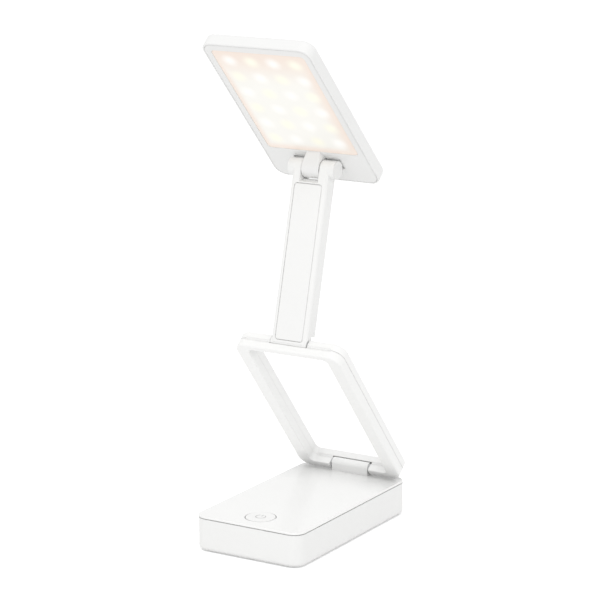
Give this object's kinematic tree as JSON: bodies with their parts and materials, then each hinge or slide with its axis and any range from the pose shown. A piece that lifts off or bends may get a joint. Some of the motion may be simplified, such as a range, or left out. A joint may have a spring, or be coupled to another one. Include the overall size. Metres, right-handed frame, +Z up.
{
  "type": "folding desk lamp",
  "caption": "Folding LED desk lamp: oblong base with a round power key, open ring frame, slim arm and flat tilting LED head with a milky window.",
  "frame": {"origin": "middle of the base, on the plane its rubber feet stand on", "axes": "+Z up, -Y towards the front where the power key is, +X to the right as seen from the front"},
  "size_m": [0.08, 0.1419, 0.3342],
  "materials": {
    "white_abs": "moulded, semi-gloss",
    "key_plastic": "moulded, glossy",
    "foot_rubber": "moulded, matt",
    "steel": "bright zinc",
    "black_plastic": "moulded, matt",
    "green_board": "solder mask",
    "white_board": "white solder mask",
    "cell_can": "printed sleeve, satin",
    "wire_sleeve": "extruded, satin",
    "milky_window": "moulded, milky",
    "cool_led": "clear dome",
    "warm_led": "clear dome"
  },
  "bodies": {
    "base": {"base_shell": "white_abs", "base_cover": "white_abs", "base_feet": "foot_rubber", "base_screws": "steel", "switch_body": "black_plastic", "control_board": "green_board", "board_screws": "steel", "battery_cell": "cell_can", "socket_board": "green_board", "charging_socket": "steel", "base_hinge_pin": "steel", "base_hinge_washers": "steel"},
    "key": {"power_key": "key_plastic", "switch_plunger": "black_plastic"},
    "frame": {"frame_front_shell": "white_abs", "frame_rear_shell": "white_abs", "frame_screws": "steel", "frame_wires": "wire_sleeve", "arm_hinge_pin": "steel", "arm_hinge_washers": "steel"},
    "arm": {"arm_shell": "white_abs", "arm_front_cover": "white_abs", "arm_screws": "steel", "arm_wires": "wire_sleeve", "head_hinge_pin": "steel", "head_hinge_washers": "steel"},
    "head": {"head_housing": "white_abs", "head_bezel": "white_abs", "diffuser": "milky_window", "led_board": "white_board", "cool_leds": "cool_led", "warm_leds": "warm_led", "led_screws": "steel"}
  },
  "joints": [
    {"name": "base_fold", "type": "hinge", "parent": "base", "child": "frame", "pos_m": [0, 0.0645, 0.0287], "axis": [-1, 0, 0], "range_deg": [-50.5, 35]},
    {"name": "arm_fold", "type": "hinge", "parent": "frame", "child": "arm", "pos_m": [0, -0.01415, 0.13118], "axis": [-1, 0, 0], "range_deg": [0, 108]},
    {"name": "head_fold", "type": "hinge", "parent": "arm", "child": "head", "pos_m": [0, 0.01697, 0.2415], "axis": [-1, 0, 0], "range_deg": [-121.5, 38.5]},
    {"name": "key_press", "type": "slide", "parent": "base", "child": "key", "axis": [0, 0, -1], "range_m": [0, 0.0008], "stiffness_N_per_m": 1000, "springref_m": -0.0005}
  ]
}
